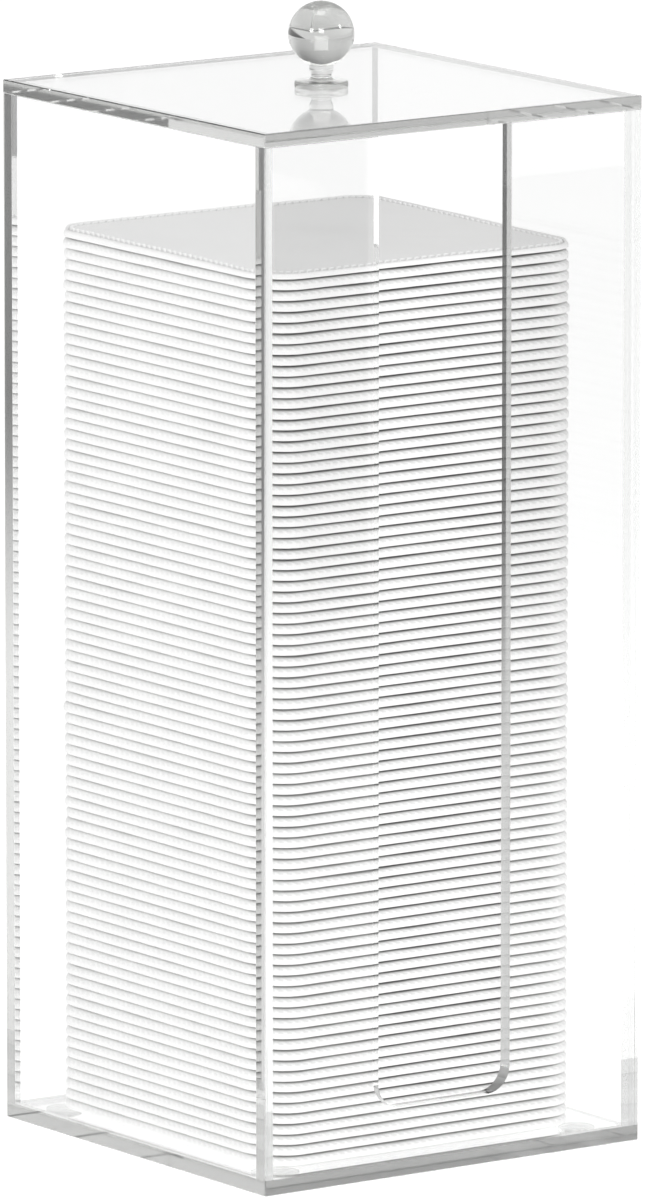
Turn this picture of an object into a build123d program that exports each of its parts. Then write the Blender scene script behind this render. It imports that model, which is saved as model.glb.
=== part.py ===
from build123d import *
import os

# Clear acrylic tower box for a stack of square cotton pads.
# Frame: millimetres, +Z up, origin on the table at the centre of the footprint.
# The front panel, with the finger slot, faces -Y. The lid lifts off along +Z.

# ---------------------------------------------------------------- dimensions
BOX_W = 94.0            # outer width and depth of the square box
BOX_H = 218.0           # underside of the base plate to the top face of the lid
WALL_T = 3.2            # wall sheet
LID_T = 2.9             # lid sheet
BASE_T = 3.3            # base sheet
EDGE_CH = 0.2           # broken edge on the exposed corners of the sheets

FOOT_T = 1.4            # clear bumper feet under the base
FOOT_D = 7.7
FOOT_XY = 37.2          # foot centres from the box centre, both ways

SLOT_L = -18.85         # left edge of the finger slot, from the box centre
SLOT_R = 14.15          # right edge of the finger slot
SLOT_RISE = 14.6        # slot floor above the underside of the base
SLOT_CORNER = 5.5       # rounding of the slot's two lower corners

KNOB_BALL_D = 13.65     # clear ball of the knob
KNOB_BALL_Z = 11.04     # ball centre above the lid
KNOB_FLANGE_D = 11.05
KNOB_FLANGE_T = 1.4
KNOB_NECK_D = 4.9       # collar right under the ball
KNOB_WAIST_D = 4.1      # narrowest place, above the flange

PAD_SIDE = 77.0         # square cotton pad
PAD_CORNER = 7.5
PAD_PITCH = 2.205       # one pad to the next in the stack
PAD_GAP = 0.02
PAD_COUNT = 84
PAD_X = -0.65           # the stack stands slightly off the box centre
PAD_Y = 0.55

# ---------------------------------------------------------------- derived
Z_BASE = FOOT_T
Z_WALL = Z_BASE + BASE_T
Z_LID = Z_BASE + BOX_H - LID_T
Z_TOP = Z_LID + LID_T
WALL_H = Z_LID - Z_WALL
INNER_W = BOX_W - 2 * WALL_T
HALF = BOX_W / 2
PAD_T = PAD_PITCH - PAD_GAP
SLOT_Z = Z_BASE + SLOT_RISE
SLOT_W = SLOT_R - SLOT_L
SLOT_X = (SLOT_R + SLOT_L) / 2

os.makedirs("parts", exist_ok=True)

# ---------------------------------------------------------------- base plate
with BuildPart() as base_plate:
    with BuildSketch(Plane.XY.offset(Z_BASE)):
        Rectangle(BOX_W, BOX_W)
    extrude(amount=BASE_T)
    chamfer(base_plate.edges().filter_by(Axis.Z), EDGE_CH)
    chamfer(base_plate.faces().sort_by(Axis.Z)[0].edges(), EDGE_CH)
base_plate.part.label = "base_plate"
export_step(base_plate.part, "parts/base_plate.step")

# ---------------------------------------------------------------- front panel
# Full width sheet. The slot is open at the top edge, with rounded lower corners.
with BuildPart() as front_panel:
    with BuildSketch(Plane.XZ.offset(HALF)):
        with Locations((0, Z_WALL + WALL_H / 2)):
            Rectangle(BOX_W, WALL_H)
        slot_top = Z_LID + 20
        with Locations((SLOT_X, (SLOT_Z + slot_top) / 2)):
            RectangleRounded(SLOT_W, slot_top - SLOT_Z, SLOT_CORNER, mode=Mode.SUBTRACT)
    extrude(amount=-WALL_T)
    outer_corners = front_panel.edges().filter_by(Axis.Z).filter_by(
        lambda e: abs(e.center().Y + HALF) < 0.01 and abs(abs(e.center().X) - HALF) < 0.01)
    chamfer(outer_corners, EDGE_CH)
front_panel.part.label = "front_panel"
export_step(front_panel.part, "parts/front_panel.step")

# ---------------------------------------------------------------- back panel
with BuildPart() as back_panel:
    with BuildSketch(Plane.XZ.offset(-HALF + WALL_T)):
        with Locations((0, Z_WALL + WALL_H / 2)):
            Rectangle(BOX_W, WALL_H)
    extrude(amount=-WALL_T)
    rear_corners = back_panel.edges().filter_by(Axis.Z).filter_by(
        lambda e: abs(e.center().Y - HALF) < 0.01)
    chamfer(rear_corners, EDGE_CH)
back_panel.part.label = "back_panel"
export_step(back_panel.part, "parts/back_panel.step")

# ---------------------------------------------------------------- side panels
# They butt between the front and the back panel.
with BuildPart() as left_panel:
    with BuildSketch(Plane.YZ.offset(-HALF)):
        with Locations((0, Z_WALL + WALL_H / 2)):
            Rectangle(INNER_W, WALL_H)
    extrude(amount=WALL_T)
left_panel.part.label = "left_panel"
export_step(left_panel.part, "parts/left_panel.step")

with BuildPart() as right_panel:
    with BuildSketch(Plane.YZ.offset(HALF - WALL_T)):
        with Locations((0, Z_WALL + WALL_H / 2)):
            Rectangle(INNER_W, WALL_H)
    extrude(amount=WALL_T)
right_panel.part.label = "right_panel"
export_step(right_panel.part, "parts/right_panel.step")

# ---------------------------------------------------------------- lid
with BuildPart() as lid_plate:
    with BuildSketch(Plane.XY.offset(Z_LID)):
        Rectangle(BOX_W, BOX_W)
    extrude(amount=LID_T)
    chamfer(lid_plate.edges(), EDGE_CH)
lid_plate.part.label = "lid_plate"
export_step(lid_plate.part, "parts/lid_plate.step")

# One turned clear piece: round flange, waisted neck, ball.
ball_r = KNOB_BALL_D / 2
ball_z = Z_TOP + KNOB_BALL_Z
neck_r = KNOB_NECK_D / 2
waist_r = KNOB_WAIST_D / 2
flange_r = KNOB_FLANGE_D / 2
neck_join_z = ball_z - (ball_r ** 2 - neck_r ** 2) ** 0.5
waist_z = Z_TOP + KNOB_FLANGE_T + 1.15
collar_z = neck_join_z - 1.15

with BuildPart() as lid_knob:
    with BuildSketch(Plane.XZ):
        with BuildLine():
            Polyline(
                (0, Z_TOP),
                (flange_r - 0.3, Z_TOP),
                (flange_r, Z_TOP + 0.3),
                (flange_r, Z_TOP + KNOB_FLANGE_T - 0.35),
                (flange_r - 0.5, Z_TOP + KNOB_FLANGE_T),
                (waist_r + 0.9, Z_TOP + KNOB_FLANGE_T + 0.12),
            )
            ThreePointArc(
                (waist_r + 0.9, Z_TOP + KNOB_FLANGE_T + 0.12),
                (waist_r + 0.2, Z_TOP + KNOB_FLANGE_T + 0.45),
                (waist_r, waist_z),
            )
            Polyline(
                (waist_r, waist_z),
                (neck_r, collar_z),
                (neck_r, neck_join_z),
            )
            ThreePointArc((neck_r, neck_join_z), (ball_r, ball_z), (0, ball_z + ball_r))
            Line((0, ball_z + ball_r), (0, Z_TOP))
        make_face()
    revolve(axis=Axis.Z)
lid_knob.part.label = "lid_knob"
export_step(lid_knob.part, "parts/lid_knob.step")

# ---------------------------------------------------------------- feet
# Domed clear bumpers, one under each corner.
FEET = {
    "foot_front_left": (-FOOT_XY, -FOOT_XY),
    "foot_front_right": (FOOT_XY, -FOOT_XY),
    "foot_back_left": (-FOOT_XY, FOOT_XY),
    "foot_back_right": (FOOT_XY, FOOT_XY),
}
for foot_name, (fx, fy) in FEET.items():
    with BuildPart() as foot:
        with BuildSketch(Plane.XY):
            with Locations((fx, fy)):
                Circle(FOOT_D / 2)
        extrude(amount=FOOT_T)
        fillet(foot.faces().sort_by(Axis.Z)[0].edges(), 0.6)
    foot.part.label = foot_name
    export_step(foot.part, "parts/" + foot_name + ".step")

# ---------------------------------------------------------------- cotton pads
# One square pad with rounded corners, as a plain slab.
with BuildPart() as pad:
    with BuildSketch(Plane.XY):
        with Locations((PAD_X, PAD_Y)):
            RectangleRounded(PAD_SIDE, PAD_SIDE, PAD_CORNER)
    extrude(amount=PAD_T)

pad_levels = [Z_WALL + PAD_GAP / 2 + i * PAD_PITCH for i in range(PAD_COUNT)]

# The loose stack: separate pads lying on each other.
with BuildPart() as cotton_pads:
    with Locations([(0, 0, z) for z in pad_levels[:-1]]):
        add(pad.part)
cotton_pads.part.label = "cotton_pads"
export_step(cotton_pads.part, "parts/cotton_pads.step")

# The pad that lies on top, free to be picked off the stack.
with BuildPart() as top_pad:
    with Locations([(0, 0, pad_levels[-1])]):
        add(pad.part)
top_pad.part.label = "top_pad"
export_step(top_pad.part, "parts/top_pad.step")

print("overall height", round(ball_z + ball_r, 3), "mm")
print("wall height", round(WALL_H, 3), "mm, headroom over the pads",
      round(Z_LID - (pad_levels[-1] + PAD_T), 3), "mm")
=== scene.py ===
import bpy
import math
import numpy as np
from mathutils import Matrix, Vector


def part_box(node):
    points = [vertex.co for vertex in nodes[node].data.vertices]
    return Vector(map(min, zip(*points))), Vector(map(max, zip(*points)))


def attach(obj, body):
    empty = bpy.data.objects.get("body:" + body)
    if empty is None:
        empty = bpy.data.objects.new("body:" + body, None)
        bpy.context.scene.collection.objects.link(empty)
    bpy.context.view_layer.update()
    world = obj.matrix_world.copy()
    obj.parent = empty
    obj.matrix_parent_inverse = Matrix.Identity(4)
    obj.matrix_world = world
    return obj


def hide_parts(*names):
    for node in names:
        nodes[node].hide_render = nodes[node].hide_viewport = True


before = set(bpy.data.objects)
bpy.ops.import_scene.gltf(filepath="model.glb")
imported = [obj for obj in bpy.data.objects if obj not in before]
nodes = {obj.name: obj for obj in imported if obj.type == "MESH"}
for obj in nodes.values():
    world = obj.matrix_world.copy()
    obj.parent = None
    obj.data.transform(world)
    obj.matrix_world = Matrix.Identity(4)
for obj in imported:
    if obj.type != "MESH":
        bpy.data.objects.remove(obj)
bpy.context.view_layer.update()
MM = 0.001
scene = bpy.context.scene


# ---------------------------------------------------------------- camera
# The photograph's viewpoint, fitted to the box's corners.
az, el = math.radians(-35.14), math.radians(10.30)
back = Vector((math.sin(az) * math.cos(el), -math.cos(az) * math.cos(el), math.sin(el)))
right = Vector((math.cos(az), math.sin(az), 0.0))
up = back.cross(right)
place = (back * 3249.0 + right * 0.37 + up * 116.51) * 0.94 * MM + Vector((0, 0, 1.4 * MM))
cam_data = bpy.data.cameras.new("camera")
cam_data.sensor_width = 36.0
cam_data.lens = 36.0 * 14730.0 / 1200.0
cam_data.clip_start = 0.05
cam_data.clip_end = 60.0
cam = bpy.data.objects.new("camera", cam_data)
scene.collection.objects.link(cam)
rot = Matrix((right, up, back)).transposed()
cam.matrix_world = Matrix.Translation(place) @ rot.to_4x4()
scene.camera = cam

scene.view_settings.view_transform = "Standard"
scene.view_settings.look = "None"
scene.cycles.max_bounces = 48
scene.cycles.transmission_bounces = 40
scene.cycles.transparent_max_bounces = 40
scene.cycles.glossy_bounces = 44
scene.cycles.diffuse_bounces = 5
scene.cycles.caustics_reflective = False
scene.cycles.blur_glossy = 0.0
scene.cycles.sample_clamp_indirect = 6.0


# ---------------------------------------------------------------- light levels
FLOOR_GLOW = 0.77
WORLD_BASE = 0.27
WORLD_LOBES = (                            # direction, tightness, gain
    ((0.57, 0.80, 0.0), 6.0, 0.75),        # white backdrop behind the object
    ((-0.50, 0.87, 0.12), 16.0, 0.58),     # its lit side, behind to the left
    ((0.97, -0.15, 0.12), 16.0, 0.85),     # white wall to the right
    ((-1.0, -0.15, 0.05), 4.0, 0.22),      # bright wall to the left
    ((0.566, -0.80, 0.20), 12.0, 0.55),    # light from the front right, low above the floor
    ((0.85, 0.35, 0.45), 14.0, -0.35),     # unlit corner of the room, high behind to the right
)
LAMPS = (                                  # name, place, aim, size, brightness
    ("key_left", (-1.87, -0.68, 0.85), (0, 0, 0.11), (0.44, 0.44), 14.0),
    ("box_front", (-1.17, -1.66, 0.90), (0, 0, 0.20), (0.58, 0.58), 14.0),
    ("box_above", (-0.10, -0.10, 1.90), (0, 0, 0.20), (0.62, 0.52), 4.6),
    ("kick_right", (1.10, -1.30, 0.95), (0, 0, 0.20), (0.30, 0.42), 14.0),
)


# ---------------------------------------------------------------- node helpers
def new_material(name):
    mat = bpy.data.materials.new(name)
    mat.use_nodes = True
    nt = mat.node_tree
    nt.nodes.clear()
    out = nt.nodes.new("ShaderNodeOutputMaterial")
    return mat, nt, out


def add(nt, kind, **values):
    n = nt.nodes.new(kind)
    for k, v in values.items():
        setattr(n, k, v)
    return n


def setin(node, **values):
    for k, v in values.items():
        node.inputs[k.replace("_", " ")].default_value = v
    return node


def give(obj, mat):
    obj.data.materials.clear()
    obj.data.materials.append(mat)


# ---------------------------------------------------------------- clear materials
def clear_material(name, tint, ior, rough_lo, rough_hi, haze_scale, bump, bump_scale, absorb=None, through=0.965, cut=None):
    """Polished clear plastic. Lamps and soft bounced light pass it straight; everything else bends."""
    mat, nt, out = new_material(name)
    tex = add(nt, "ShaderNodeTexCoord")
    # faint polishing haze: roughness wanders a little over the surface
    haze = setin(add(nt, "ShaderNodeTexNoise"), Scale=haze_scale, Detail=3.0, Roughness=0.6)
    nt.links.new(tex.outputs["Object"], haze.inputs["Vector"])
    span = add(nt, "ShaderNodeMapRange")
    span.inputs["From Min"].default_value = 0.42
    span.inputs["From Max"].default_value = 0.72
    span.inputs["To Min"].default_value = rough_lo
    span.inputs["To Max"].default_value = rough_hi
    nt.links.new(haze.outputs["Fac"], span.inputs["Value"])
    # very long, very low waves of cast sheet
    wave = setin(add(nt, "ShaderNodeTexNoise"), Scale=bump_scale, Detail=1.0, Roughness=0.4)
    nt.links.new(tex.outputs["Object"], wave.inputs["Vector"])
    lump = add(nt, "ShaderNodeBump")
    lump.inputs["Strength"].default_value = bump
    lump.inputs["Distance"].default_value = 0.001
    nt.links.new(wave.outputs["Fac"], lump.inputs["Height"])
    # the body colour wanders by less than a percent
    ramp = add(nt, "ShaderNodeMix", data_type="RGBA")
    ramp.inputs["A"].default_value = (*tint[0], 1)
    ramp.inputs["B"].default_value = (*tint[1], 1)
    nt.links.new(haze.outputs["Fac"], ramp.inputs["Factor"])
    colour, rough = ramp.outputs["Result"], span.outputs["Result"]
    if cut:
        colour, rough = cut(nt, tex, colour, rough)
    p = add(nt, "ShaderNodeBsdfPrincipled")
    nt.links.new(colour, p.inputs["Base Color"])
    nt.links.new(rough, p.inputs["Roughness"])
    nt.links.new(lump.outputs["Normal"], p.inputs["Normal"])
    p.inputs["Transmission Weight"].default_value = 1.0
    p.inputs["IOR"].default_value = ior
    path = add(nt, "ShaderNodeLightPath")
    either = add(nt, "ShaderNodeMath", operation="MAXIMUM")
    nt.links.new(path.outputs["Is Shadow Ray"], either.inputs[0])
    nt.links.new(path.outputs["Is Diffuse Ray"], either.inputs[1])
    clear = add(nt, "ShaderNodeBsdfTransparent")
    clear.inputs["Color"].default_value = (through, through, through, 1)
    if absorb:
        soak = add(nt, "ShaderNodeVolumeAbsorption")
        soak.inputs["Color"].default_value = (*absorb[0], 1)
        soak.inputs["Density"].default_value = absorb[1]
        nt.links.new(soak.outputs[0], out.inputs["Volume"])
    mix = add(nt, "ShaderNodeMixShader")
    nt.links.new(either.outputs[0], mix.inputs[0])
    nt.links.new(p.outputs[0], mix.inputs[1])
    nt.links.new(clear.outputs[0], mix.inputs[2])
    nt.links.new(mix.outputs[0], out.inputs["Surface"])
    return mat


# The open cut edges of the sheets are buffed, not as clear as the faces: they hold back some light
# and carry fine saw marks. Joined edges are wetted by the cement and stay clear.
EDGE_CLEAR = 0.70
PLATE_TOP, PLATE_BOTTOM, WALL_IN = 0.2165, 0.0047, 0.0438


def cut_edges(nt, tex, colour, rough):
    geo = add(nt, "ShaderNodeNewGeometry")
    nrm = add(nt, "ShaderNodeSeparateXYZ")
    nt.links.new(geo.outputs["True Normal"], nrm.inputs[0])
    pos = add(nt, "ShaderNodeSeparateXYZ")
    nt.links.new(tex.outputs["Object"], pos.inputs[0])

    def calc(op, a, b=None):
        n = add(nt, "ShaderNodeMath", operation=op)
        for k, v in enumerate((a, b)):
            if v is None:
                continue
            if isinstance(v, float):
                n.inputs[k].default_value = v
            else:
                nt.links.new(v, n.inputs[k])
        return n.outputs[0]

    above = calc("GREATER_THAN", pos.outputs["Z"], PLATE_TOP)
    below = calc("LESS_THAN", pos.outputs["Z"], PLATE_BOTTOM)
    plate = calc("ADD", above, below)
    wall = calc("SUBTRACT", 1.0, plate)
    upright = calc("LESS_THAN", calc("ABSOLUTE", nrm.outputs["Z"]), 0.5)
    plate_edge = calc("MULTIPLY", plate, upright)
    outer = calc("GREATER_THAN", calc("ABSOLUTE", pos.outputs["Y"]), WALL_IN)
    across = calc("LESS_THAN", calc("ABSOLUTE", nrm.outputs["Y"]), 0.5)
    top = calc("GREATER_THAN", nrm.outputs["Z"], 0.5)
    side_cut = calc("MULTIPLY", outer, calc("MULTIPLY", across, upright))
    wall_edge = calc("MULTIPLY", wall, calc("MAXIMUM", side_cut, top))
    edge = calc("MAXIMUM", plate_edge, wall_edge)
    # saw marks: fine lines across the sheet, drawn out along its thickness
    stretch = add(nt, "ShaderNodeMapping")
    stretch.inputs["Scale"].default_value = (900.0, 900.0, 60.0)
    nt.links.new(tex.outputs["Object"], stretch.inputs["Vector"])
    saw = setin(add(nt, "ShaderNodeTexNoise"), Scale=1.0, Detail=2.0, Roughness=0.55)
    nt.links.new(stretch.outputs[0], saw.inputs["Vector"])
    shade = add(nt, "ShaderNodeMix", data_type="RGBA")
    shade.inputs["A"].default_value = (EDGE_CLEAR - 0.015, EDGE_CLEAR - 0.012, EDGE_CLEAR - 0.02, 1)
    shade.inputs["B"].default_value = (EDGE_CLEAR + 0.015, EDGE_CLEAR + 0.015, EDGE_CLEAR + 0.01, 1)
    nt.links.new(saw.outputs["Fac"], shade.inputs["Factor"])
    body = add(nt, "ShaderNodeMix", data_type="RGBA")
    nt.links.new(edge, body.inputs["Factor"])
    nt.links.new(colour, body.inputs["A"])
    nt.links.new(shade.outputs["Result"], body.inputs["B"])
    # painted shade: the cuts along the front and the back of the plates are darkened by how squarely they face front
    # or back, most on the base, standing in for the shaded floor seen through them
    painted_edge_shade = calc("ADD", calc("MULTIPLY", plate_edge, 0.10), calc("MULTIPLY", calc("MULTIPLY", below, upright), 0.32))
    painted_edge_shade = calc("MULTIPLY", painted_edge_shade, calc("ABSOLUTE", nrm.outputs["Y"]))
    # and the routed sides of the slot get more of the same painted shade
    slot = calc("MULTIPLY", calc("MULTIPLY", side_cut, wall), calc("LESS_THAN", calc("ABSOLUTE", pos.outputs["X"]), 0.03))
    painted_edge_shade = calc("MAXIMUM", painted_edge_shade, calc("MULTIPLY", slot, 0.42))
    edge_shade_mix = add(nt, "ShaderNodeMix", data_type="RGBA")
    nt.links.new(painted_edge_shade, edge_shade_mix.inputs["Factor"])
    nt.links.new(body.outputs["Result"], edge_shade_mix.inputs["A"])
    edge_shade_mix.inputs["B"].default_value = (0.0, 0.0, 0.0, 1)
    marks = add(nt, "ShaderNodeMapRange")
    marks.inputs["To Min"].default_value = 0.02
    marks.inputs["To Max"].default_value = 0.08
    nt.links.new(saw.outputs["Fac"], marks.inputs["Value"])
    rough_edge = calc("MULTIPLY", plate_edge, marks.outputs["Result"])
    # the hand finished bends of the slot are cloudier
    tilt = calc("ABSOLUTE", nrm.outputs["Z"])
    bend = calc("MULTIPLY", calc("GREATER_THAN", tilt, 0.08), calc("LESS_THAN", tilt, 0.97))
    bend = calc("MULTIPLY", calc("MULTIPLY", bend, wall), 0.6)
    return edge_shade_mix.outputs["Result"], calc("MAXIMUM", calc("MAXIMUM", rough, rough_edge), bend)


acrylic = clear_material(
    "clear_acrylic", ((0.995, 0.998, 0.996), (1.0, 1.0, 1.0)), 1.517, 0.0, 0.0, 60.0, 0.0, 12.0,
    absorb=((0.02, 0.05, 0.0), 1.1), cut=cut_edges)
knob_mat = clear_material(
    "clear_knob", ((0.99, 0.995, 0.99), (1.0, 1.0, 1.0)), 1.5, 0.0, 0.0, 300.0, 0.0, 120.0,
    absorb=((0.02, 0.03, 0.0), 40.0))
bumper = clear_material(
    "clear_bumper", ((0.66, 0.67, 0.66), (0.76, 0.765, 0.76)), 1.42, 0.12, 0.3, 900.0, 0.15, 900.0)

SHEETS = ["base_plate", "front_panel", "back_panel", "left_panel", "right_panel", "lid_plate"]
FEET = ["foot_front_left", "foot_front_right", "foot_back_left", "foot_back_right"]
for n in SHEETS:
    give(nodes[n], acrylic)
for n in FEET:
    give(nodes[n], bumper)
give(nodes["lid_knob"], knob_mat)


# Touching sheets keep a hair of air between them, as real butt joints seen through the edge do.
# Under a wall the cement has flowed: there the sheets run into each other by a hair instead.
def hair_gap(obj, gap, sink=0.0):
    lo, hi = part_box(obj.name)
    size, mid = hi - lo, (hi + lo) / 2
    tree = bpy.data.node_groups.new("hair_gap_" + obj.name, "GeometryNodeTree")
    tree.interface.new_socket("Geometry", in_out="INPUT", socket_type="NodeSocketGeometry")
    tree.interface.new_socket("Geometry", in_out="OUTPUT", socket_type="NodeSocketGeometry")
    a = tree.nodes.new("NodeGroupInput")
    b = tree.nodes.new("NodeGroupOutput")
    t = tree.nodes.new("GeometryNodeTransform")
    s = Vector([(size[k] - 2 * gap) / size[k] for k in range(3)])
    s.z += sink / size.z
    t.inputs["Scale"].default_value = s
    t.inputs["Translation"].default_value = [mid[k] * (1 - s[k]) - (sink / 2 if k == 2 else 0.0) for k in range(3)]
    tree.links.new(a.outputs[0], t.inputs["Geometry"])
    tree.links.new(t.outputs["Geometry"], b.inputs[0])
    m = obj.modifiers.new("hair_gap", "NODES")
    m.node_group = tree


for n in SHEETS + FEET:
    hair_gap(nodes[n], 0.012 * MM, 0.05 * MM if n.endswith("_panel") else 0.0)


# ---------------------------------------------------------------- knob
# One turned piece, finely divided, on the CAD profile.
def knob_profile():
    lo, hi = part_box("lid_knob")
    z0 = lo.z
    ball_r = (hi.x - lo.x) / 2
    ball_z = hi.z - ball_r
    flange_r, flange_t = 5.525 * MM, 1.4 * MM
    neck_r, waist_r = 2.45 * MM, 2.05 * MM
    join_z = ball_z - math.sqrt(ball_r ** 2 - neck_r ** 2)
    pts = [(0.0, z0 + 0.01 * MM)]

    def arc(cx, cz, r, a0, a1, n, skip=0):
        for i in range(skip, n + 1):
            a = math.radians(a0 + (a1 - a0) * i / n)
            pts.append((cx + r * math.cos(a), cz + r * math.sin(a)))

    zb = z0 + 0.01 * MM
    pts.append((flange_r * 0.5, zb))
    arc(flange_r - 0.3 * MM, zb + 0.3 * MM, 0.3 * MM, -90, 0, 6)
    arc(flange_r - 0.35 * MM, z0 + flange_t - 0.35 * MM, 0.35 * MM, 0, 80, 6)
    pts.append((flange_r - 0.9 * MM, z0 + flange_t + 0.03 * MM))
    pts.append((waist_r + 0.9 * MM, z0 + flange_t + 0.12 * MM))
    # cove up to the waist
    wz = z0 + flange_t + 1.15 * MM
    for i in range(1, 11):
        t = i / 10
        x = waist_r + 0.9 * MM * (1 - t) ** 2.2
        z = z0 + flange_t + 0.12 * MM + (wz - z0 - flange_t - 0.12 * MM) * t ** 1.1
        pts.append((x, z))
    cz = join_z - 1.15 * MM
    for i in range(1, 7):
        t = i / 6
        pts.append((waist_r + (neck_r - waist_r) * (3 * t * t - 2 * t ** 3), wz + (cz - wz) * t))
    pts.append((neck_r, join_z - 0.5 * MM))
    pts.append((neck_r, join_z - 0.02 * MM))
    a0 = math.asin((join_z - ball_z) / ball_r)
    for i in range(1, 121):
        a = a0 + (math.pi / 2 - a0) * i / 120
        pts.append((ball_r * math.cos(a), ball_z + ball_r * math.sin(a)))
    pts[-1] = (0.0, hi.z)
    return pts


def lathe(name, pts, segments=288):
    verts, faces = [], []
    rings = []
    for r, z in pts:
        if r < 1e-9:
            rings.append([len(verts)])
            verts.append((0, 0, z))
        else:
            start = len(verts)
            for k in range(segments):
                a = 2 * math.pi * k / segments
                verts.append((r * math.cos(a), r * math.sin(a), z))
            rings.append(list(range(start, start + segments)))
    for a, b in zip(rings, rings[1:]):
        for k in range(segments):
            k2 = (k + 1) % segments
            if len(a) == 1:
                faces.append((a[0], b[k2], b[k]))
            elif len(b) == 1:
                faces.append((a[k], a[k2], b[0]))
            else:
                faces.append((a[k], a[k2], b[k2], b[k]))
    me = bpy.data.meshes.new(name)
    me.from_pydata(verts, [], faces)
    me.update()
    me.shade_smooth()
    obj = bpy.data.objects.new(name, me)
    scene.collection.objects.link(obj)
    return obj


knob = lathe("turned_knob", knob_profile())
knob.data.set_sharp_from_angle(angle=math.radians(34))
give(knob, knob_mat)
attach(knob, "lid")
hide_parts("lid_knob")


# ---------------------------------------------------------------- cotton
def cotton_material():
    mat, nt, out = new_material("cotton")
    tex = add(nt, "ShaderNodeTexCoord")
    # short pressed fibres at two scales
    fibre = setin(add(nt, "ShaderNodeTexNoise"), Scale=2600.0, Detail=4.0, Roughness=0.65)
    nt.links.new(tex.outputs["Object"], fibre.inputs["Vector"])
    strands = setin(add(nt, "ShaderNodeTexNoise"), Scale=520.0, Detail=3.0, Roughness=0.6, Distortion=2.2)
    nt.links.new(tex.outputs["Object"], strands.inputs["Vector"])
    felt = setin(add(nt, "ShaderNodeTexNoise"), Scale=60.0, Detail=3.0, Roughness=0.5)
    nt.links.new(tex.outputs["Object"], felt.inputs["Vector"])
    mixf = add(nt, "ShaderNodeMath", operation="MULTIPLY_ADD")
    mixf.inputs[1].default_value = 0.55
    nt.links.new(fibre.outputs["Fac"], mixf.inputs[0])
    nt.links.new(strands.outputs["Fac"], mixf.inputs[2])
    bump = add(nt, "ShaderNodeBump")
    bump.inputs["Strength"].default_value = 0.35
    bump.inputs["Distance"].default_value = 0.00012
    nt.links.new(mixf.outputs[0], bump.inputs["Height"])
    # thread is a touch whiter than the felt
    col = add(nt, "ShaderNodeMix", data_type="RGBA")
    col.inputs["A"].default_value = (0.87, 0.87, 0.865, 1)
    col.inputs["B"].default_value = (0.92, 0.92, 0.915, 1)
    nt.links.new(felt.outputs["Fac"], col.inputs["Factor"])
    att = add(nt, "ShaderNodeAttribute", attribute_name="thread")
    col2 = add(nt, "ShaderNodeMix", data_type="RGBA")
    nt.links.new(col.outputs["Result"], col2.inputs["A"])
    col2.inputs["B"].default_value = (0.98, 0.98, 0.98, 1)
    nt.links.new(att.outputs["Fac"], col2.inputs["Factor"])
    # painted shade: the felt is darkened toward grey in the gaps between pads, on their covered faces and along their
    # shaded sides
    crease_shade_amount = add(nt, "ShaderNodeAttribute", attribute_name="painted_crease_shade")
    col3 = add(nt, "ShaderNodeMix", data_type="RGBA")
    nt.links.new(col2.outputs["Result"], col3.inputs["A"])
    col3.inputs["B"].default_value = (0.27, 0.27, 0.265, 1)
    nt.links.new(crease_shade_amount.outputs["Fac"], col3.inputs["Factor"])
    p = add(nt, "ShaderNodeBsdfPrincipled")
    nt.links.new(col3.outputs["Result"], p.inputs["Base Color"])
    nt.links.new(bump.outputs["Normal"], p.inputs["Normal"])
    rr = add(nt, "ShaderNodeMapRange")
    rr.inputs["To Min"].default_value = 0.85
    rr.inputs["To Max"].default_value = 1.0
    nt.links.new(strands.outputs["Fac"], rr.inputs["Value"])
    nt.links.new(rr.outputs["Result"], p.inputs["Roughness"])
    p.inputs["Specular IOR Level"].default_value = 0.15
    p.inputs["Sheen Weight"].default_value = 0.15
    p.inputs["Sheen Roughness"].default_value = 0.6
    nt.links.new(p.outputs[0], out.inputs["Surface"])
    return mat


cotton = cotton_material()

PAD = {"side": 77.0 * MM, "corner": 7.5 * MM, "pitch": 2.205 * MM, "x": -0.65 * MM, "y": 0.55 * MM}
STITCHES = 160
PER = 4                      # outline points to each stitch
SPACE = np.array([0.0, 0.08, 0.60, 0.68])      # where they lie: gap, thread, thread, gap
AROUND = STITCHES * PER


def outline(n, side, r):
    """n points evenly along a rounded square's outline, with outward normals. Starts at the middle of the front side."""
    half, flat = side / 2, side / 2 - r
    total = 8 * flat + 2 * math.pi * r
    s = (np.arange(n) // PER + SPACE[np.arange(n) % PER]) / (n / PER) * total
    xs, ys, nx, ny = (np.zeros(n) for _ in range(4))
    pos = 0.0
    # pieces: half front, corner, right, corner, back, corner, left, corner, half front
    pieces = [("L", (0, -half), (1, 0), flat)]
    centres = [((flat, -flat), -90), ((flat, flat), 0), ((-flat, flat), 90), ((-flat, -flat), 180)]
    lines = [((half, -flat), (0, 1), 2 * flat), ((flat, half), (-1, 0), 2 * flat), ((-half, flat), (0, -1), 2 * flat)]
    for k in range(4):
        pieces.append(("A", centres[k][0], centres[k][1], math.pi / 2 * r))
        if k < 3:
            pieces.append(("L", lines[k][0], lines[k][1], lines[k][2]))
    pieces.append(("L", (-flat, -half), (1, 0), flat))
    for kind, a, b, length in pieces:
        m = (s >= pos) & (s < pos + length + 1e-12)
        t = s[m] - pos
        if kind == "L":
            xs[m], ys[m] = a[0] + b[0] * t, a[1] + b[1] * t
            nx[m], ny[m] = b[1], -b[0]
        else:
            ang = math.radians(b) + t / r
            xs[m], ys[m] = a[0] + r * np.cos(ang), a[1] + r * np.sin(ang)
            nx[m], ny[m] = np.cos(ang), np.sin(ang)
        pos += length
    return xs, ys, nx, ny


OX, OY, NX, NY = outline(AROUND, PAD["side"], PAD["corner"])


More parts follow.
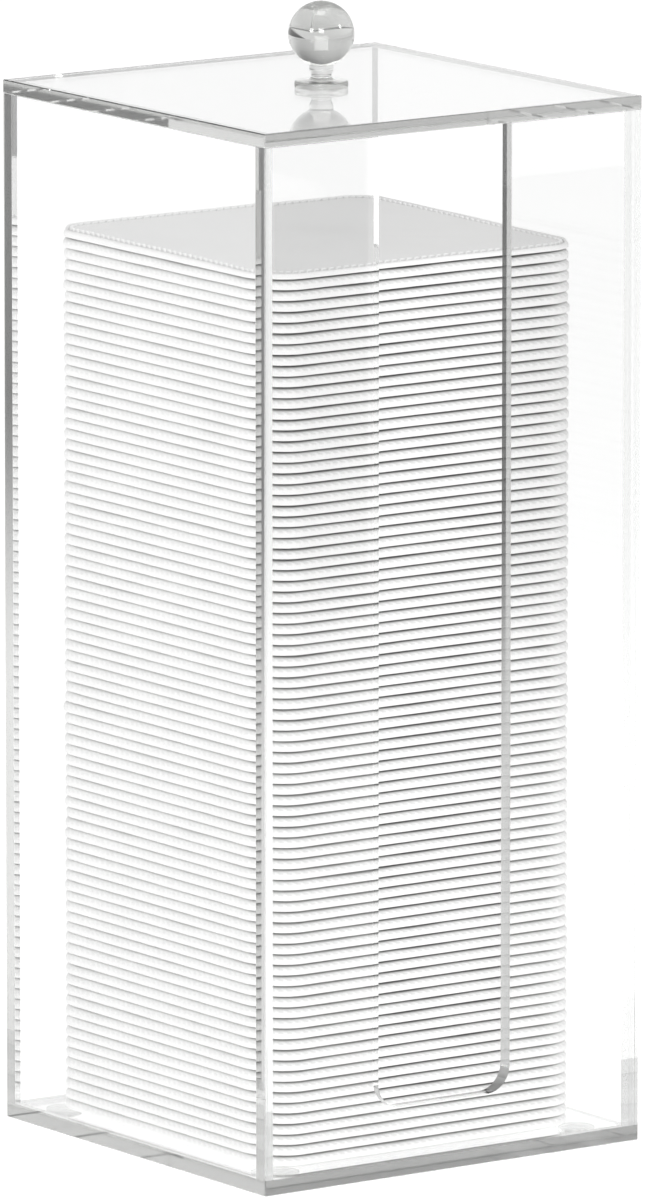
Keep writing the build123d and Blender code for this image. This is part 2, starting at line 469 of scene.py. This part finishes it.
def soft_noise(rng, n, waves, amp):
    """A smooth closed wobble along the outline."""
    t = np.linspace(0, 2 * math.pi, n, endpoint=False)
    out = np.zeros(n)
    for w in waves:
        out += rng.normal(0, 1) * np.cos(w * t + rng.uniform(0, 2 * math.pi))
    return out * amp / math.sqrt(len(waves))


# Rim section of one pad, from its top face round the edge to its bottom face:
# inward distance, height above the pad's underside (mm), stitch lift, stitch phase, how much painted crease shade it
# carries.
# The upper rim rolls in more than the lower one, so each pad overhangs the one below.
SECTION = [
    (30.0, 2.120, 0.0, 0, 1.0), (9.0, 2.120, 0.0, 0, 1.0), (2.6, 2.040, 0.0, 0, 1.0),
    (1.90, 1.960, 0.12, 0, 1.0), (1.45, 1.860, 0.0, 0, 1.0), (1.00, 1.840, 0.0, 0, 1.0), (0.58, 1.700, 0.0, 0, 0.45),
    (0.28, 1.480, 0.10, 1, 0.12), (0.11, 1.200, 0.07, 2, 0.08), (0.0, 0.920, 0.0, 0, 0.0), (0.0, 0.460, 0.0, 0, 0.0),
    (0.03, 0.130, 0.0, 0, 0.0), (0.20, 0.020, 0.0, 0, 0.6), (3.0, 0.005, 0.0, 0, 1.0), (30.0, 0.005, 0.0, 0, 1.0),
]
# The pad on top: flat face, stitches standing proud of it, a groove and a puffed rim outside them. Its last column
# paints a little shade on the flat face and more in the groove.
TOP_SECTION = [
    (30.0, 1.500, 0.0, 0, 0.05), (9.0, 1.500, 0.0, 0, 0.05), (3.4, 1.500, 0.0, 0, 0.05), (2.20, 1.490, 0.0, 0, 0.05), (2.06, 1.440, 0.0, 0, 0.25),
    (1.86, 1.500, 0.42, 0, 0.0), (1.36, 1.460, 0.42, 0, 0.0), (1.20, 1.240, 0.0, 0, 0.45), (0.98, 1.220, 0.0, 0, 0.45), (0.86, 1.340, 0.0, 0, 0.05),
    (0.66, 1.400, 0.0, 0, 0.0), (0.42, 1.340, 0.0, 0, 0.0), (0.20, 1.120, 0.0, 0, 0.0), (0.05, 0.800, 0.0, 0, 0.0),
    (0.0, 0.420, 0.0, 0, 0.0), (0.03, 0.120, 0.0, 0, 0.0), (0.20, 0.020, 0.0, 0, 0.6), (3.0, 0.005, 0.0, 0, 1.0), (30.0, 0.005, 0.0, 0, 1.0),
]


def smooth(t):
    t = np.clip(t, 0.0, 1.0)
    return t * t * (3 - 2 * t)


def build_pads(name, levels, seed, top=False):
    """Closed felt pads with rolled, stitched rims, one shell each. Levels are the undersides."""
    rng = np.random.default_rng(seed)
    verts, quads, caps, thread, painted_crease_shade = [], [], [], [], []
    count = 0
    phase = np.arange(AROUND) % PER
    far = smooth((NX * 0.57 + NY * 0.80) * 2.0 + 0.2)
    section = TOP_SECTION if top else SECTION
    for level in levels:
        dx, dy = rng.normal(0, 0.04 * MM, 2)
        edge = soft_noise(rng, AROUND, (2, 3, 5, 7, 11), 0.07 * MM) + soft_noise(rng, AROUND, (23, 37, 51), 0.02 * MM)
        lift = soft_noise(rng, AROUND, (3, 5, 9, 14), 0.05 * MM)
        turn = int(rng.integers(0, PER))
        rows = []
        for d, z, stitch, step, crease_shade_amount in section:
            d = d * MM
            on = (phase == 1) | (phase == 2)
            if step:
                on = np.roll(on, step)
            k = min(1.0, d / (3.0 * MM))
            hh = np.full(AROUND, z * MM)
            inward = np.full(AROUND, d)
            if d < 2.0 * MM and z > 0.3:
                hh = hh + np.minimum(lift, 0.03 * MM) * (1.0 if d > 0.1 * MM else 0.5)
            if stitch:
                if top:
                    hh = np.where(on, hh + stitch * (1 - 0.25 * far) * MM, hh - 0.10 * MM)
                elif step == 0:
                    hh = np.where(on, hh + stitch * MM, hh - 0.12 * MM)
                else:
                    inward = np.where(on, inward - stitch * MM, inward + stitch * MM)
            if top and z > 0.1:
                # the rim stands up along the far sides and is trodden down along the front
                if 0.3 * MM < d < 0.95 * MM:
                    hh = hh + far * 0.50 * MM
                fx, fy = OX / MM - NX * d / MM, OY / MM - NY * d / MM
                low = smooth((fx * 0.3 - fy + 12.0) / 50.0)
                hh = hh * (1 - 0.24 * low * (1.0 if d > 0.6 * MM else 0.8))
            off = edge * (1 - k) - inward
            px = OX + NX * off
            py = OY + NY * off
            if d > PAD["corner"] * 0.9:
                s = (PAD["side"] / 2 - d) / (PAD["side"] / 2)
                px, py = OX * s, OY * s
            rows.append(np.stack([px + PAD["x"] + dx, py + PAD["y"] + dy, level + hh], 1))
            thread.append(np.where(on, min(1.0, stitch * 6), 0.0))
            if top:
                # painted shade: the outline of the far sides is darkened a little
                row_crease_shade = crease_shade_amount + far * (0.28 if 0.1 * MM < d < 0.3 * MM and z > 0.3 else 0.0)
            else:
                # painted shade: the creases are darkened most on the sides facing the front, less on the left, fading
                # towards the right corner; on the side stitch rows the gaps between stitches are darkened too
                facing = smooth((-NY + 0.1) / 0.9)
                fade = 1 - 0.7 * facing * smooth((OX / MM - 28.0) / 7.0)
                row_crease_shade = crease_shade_amount * (0.30 + 0.62 * facing) * fade
                if step:
                    row_crease_shade = row_crease_shade + np.where(on, 0.0, 0.05 + 0.07 * facing)
            painted_crease_shade.append(row_crease_shade)
        n_rows = len(rows)
        verts.extend(rows)
        base = count
        i = np.arange(AROUND)
        j = (i + 1) % AROUND
        for a in range(n_rows - 1):
            A, B = base + a * AROUND, base + (a + 1) * AROUND
            quads.append(np.stack([A + i, B + i, B + j, A + j], 1))
        count += n_rows * AROUND
        # caps: a centre point
        for row, order in ((0, 1), (n_rows - 1, -1)):
            centre = rows[row].mean(0)
            verts.append(centre[None, :])
            thread.append(np.zeros(1))
            painted_crease_shade.append(np.zeros(1))
            c = count
            count += 1
            R = base + row * AROUND
            tri = np.stack([np.full(AROUND, c), R + i, R + j], 1) if order == 1 else np.stack([np.full(AROUND, c), R + j, R + i], 1)
            caps.append(tri)
    verts = np.concatenate(verts)
    quads = np.concatenate(quads)
    caps = np.concatenate(caps)
    me = bpy.data.meshes.new(name)
    me.vertices.add(len(verts))
    me.vertices.foreach_set("co", verts.astype(np.float32).ravel())
    nl = quads.size + caps.size
    me.loops.add(nl)
    me.loops.foreach_set("vertex_index", np.concatenate([quads.ravel(), caps.ravel()]).astype(np.int32))
    me.polygons.add(len(quads) + len(caps))
    starts = np.concatenate([np.arange(len(quads)) * 4, quads.size + np.arange(len(caps)) * 3]).astype(np.int32)
    me.polygons.foreach_set("loop_start", starts)
    me.update(calc_edges=True)
    me.validate()
    me.shade_smooth()
    att = me.attributes.new("thread", "FLOAT", "POINT")
    att.data.foreach_set("value", np.concatenate(thread).astype(np.float32))
    att = me.attributes.new("painted_crease_shade", "FLOAT", "POINT")
    att.data.foreach_set("value", np.concatenate(painted_crease_shade).astype(np.float32))
    obj = bpy.data.objects.new(name, me)
    scene.collection.objects.link(obj)
    give(obj, cotton)
    return obj


stack_lo, stack_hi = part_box("cotton_pads")
levels = stack_lo.z + PAD["pitch"] * np.arange(83)
groups = [levels[k:k + 10] for k in range(0, 83, 10)]
for g, lv in enumerate(groups):
    piece = build_pads("pads_%d" % (g + 1), lv, 100 + g)
    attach(piece, "pad_stack")
    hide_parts("cotton_pads")

top_lo, top_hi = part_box("top_pad")
top_piece = build_pads("pad_on_top", [top_lo.z], 900, top=True)
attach(top_piece, "loose_pad")
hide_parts("top_pad")


# ---------------------------------------------------------------- studio
def plane(name, size, loc, rot=(0, 0, 0)):
    me = bpy.data.meshes.new(name)
    sx, sy = size
    me.from_pydata([(-sx / 2, -sy / 2, 0), (sx / 2, -sy / 2, 0), (sx / 2, sy / 2, 0), (-sx / 2, sy / 2, 0)], [], [(0, 1, 2, 3)])
    obj = bpy.data.objects.new(name, me)
    obj.location = loc
    obj.rotation_euler = rot
    scene.collection.objects.link(obj)
    return obj


floor = plane("floor", (16, 16), (0, 0, 0))
mat, nt, out = new_material("floor_pale")
p = add(nt, "ShaderNodeBsdfPrincipled")
tex = add(nt, "ShaderNodeTexCoord")
grain = setin(add(nt, "ShaderNodeTexNoise"), Scale=40.0, Detail=2.0)
nt.links.new(tex.outputs["Object"], grain.inputs["Vector"])
# painted shade: the sheet's colour and glow fall off to grey away to the front right, standing in for floor that no
# lamp reaches there
far = add(nt, "ShaderNodeVectorMath", operation="DOT_PRODUCT")
nt.links.new(tex.outputs["Object"], far.inputs[0])
far.inputs[1].default_value = (0.62, -0.78, 0.0)
fall = add(nt, "ShaderNodeMapRange", interpolation_type="SMOOTHSTEP")
fall.inputs["From Min"].default_value = 0.40
fall.inputs["From Max"].default_value = 0.85
nt.links.new(far.outputs["Value"], fall.inputs["Value"])
pale = add(nt, "ShaderNodeMix", data_type="RGBA")
pale.inputs["A"].default_value = (0.56, 0.56, 0.56, 1)
pale.inputs["B"].default_value = (0.54, 0.54, 0.54, 1)
nt.links.new(grain.outputs["Fac"], pale.inputs["Factor"])
painted_floor_shade = add(nt, "ShaderNodeMix", data_type="RGBA")
nt.links.new(fall.outputs["Result"], painted_floor_shade.inputs["Factor"])
nt.links.new(pale.outputs["Result"], painted_floor_shade.inputs["A"])
painted_floor_shade.inputs["B"].default_value = (0.17, 0.17, 0.17, 1)
nt.links.new(painted_floor_shade.outputs["Result"], p.inputs["Base Color"])
glow = add(nt, "ShaderNodeMapRange")
glow.inputs["To Min"].default_value = FLOOR_GLOW
glow.inputs["To Max"].default_value = 0.05
nt.links.new(fall.outputs["Result"], glow.inputs["Value"])
nt.links.new(glow.outputs["Result"], p.inputs["Emission Strength"])
p.inputs["Emission Color"].default_value = (1, 1, 1, 1)
p.inputs["Roughness"].default_value = 0.95
p.inputs["Specular IOR Level"].default_value = 0.05
nt.links.new(p.outputs[0], out.inputs["Surface"])
mat.cycles.emission_sampling = "NONE"
give(floor, mat)

world = bpy.data.worlds.new("studio")
scene.world = world
world.use_nodes = True
wn = world.node_tree
wn.nodes.clear()
wout = wn.nodes.new("ShaderNodeOutputWorld")
bg = wn.nodes.new("ShaderNodeBackground")
wtex = wn.nodes.new("ShaderNodeTexCoord")
nrm = wn.nodes.new("ShaderNodeVectorMath"); nrm.operation = "NORMALIZE"
wn.links.new(wtex.outputs["Generated"], nrm.inputs[0])


def lobe(direction, power, gain):
    d = Vector(direction).normalized()
    dot = wn.nodes.new("ShaderNodeVectorMath"); dot.operation = "DOT_PRODUCT"
    wn.links.new(nrm.outputs[0], dot.inputs[0])
    dot.inputs[1].default_value = d
    half = wn.nodes.new("ShaderNodeMath"); half.operation = "MULTIPLY_ADD"
    wn.links.new(dot.outputs["Value"], half.inputs[0])
    half.inputs[1].default_value = 0.5
    half.inputs[2].default_value = 0.5
    pw = wn.nodes.new("ShaderNodeMath"); pw.operation = "POWER"
    wn.links.new(half.outputs[0], pw.inputs[0])
    pw.inputs[1].default_value = power
    g = wn.nodes.new("ShaderNodeMath"); g.operation = "MULTIPLY"
    wn.links.new(pw.outputs[0], g.inputs[0])
    g.inputs[1].default_value = gain
    return g


fwd = -back
total = None
for direction, power, gain in WORLD_LOBES:
    node = lobe(direction, power, gain)
    if total is None:
        total = node
    else:
        s = wn.nodes.new("ShaderNodeMath"); s.operation = "ADD"
        wn.links.new(total.outputs[0], s.inputs[0])
        wn.links.new(node.outputs[0], s.inputs[1])
        total = s
basev = wn.nodes.new("ShaderNodeMath"); basev.operation = "ADD"
wn.links.new(total.outputs[0], basev.inputs[0])
basev.inputs[1].default_value = WORLD_BASE
floorv = wn.nodes.new("ShaderNodeMath"); floorv.operation = "MAXIMUM"
wn.links.new(basev.outputs[0], floorv.inputs[0])
floorv.inputs[1].default_value = 0.03
wn.links.new(floorv.outputs[0], bg.inputs["Strength"])
bg.inputs["Color"].default_value = (1, 1, 1, 1)
wn.links.new(bg.outputs[0], wout.inputs["Surface"])


def softbox(name, where, look, size, radiance):
    """A soft rectangular lamp, set by how bright its face is."""
    data = bpy.data.lights.new(name, "AREA")
    data.shape = "RECTANGLE"
    data.size, data.size_y = size
    data.energy = radiance * math.pi * size[0] * size[1]
    obj = bpy.data.objects.new(name, data)
    obj.location = where
    obj.rotation_euler = (Vector(look) - Vector(where)).to_track_quat("-Z", "Y").to_euler()
    scene.collection.objects.link(obj)
    return obj


for name, where, look, size, radiance in LAMPS:
    softbox(name, where, look, size, radiance)
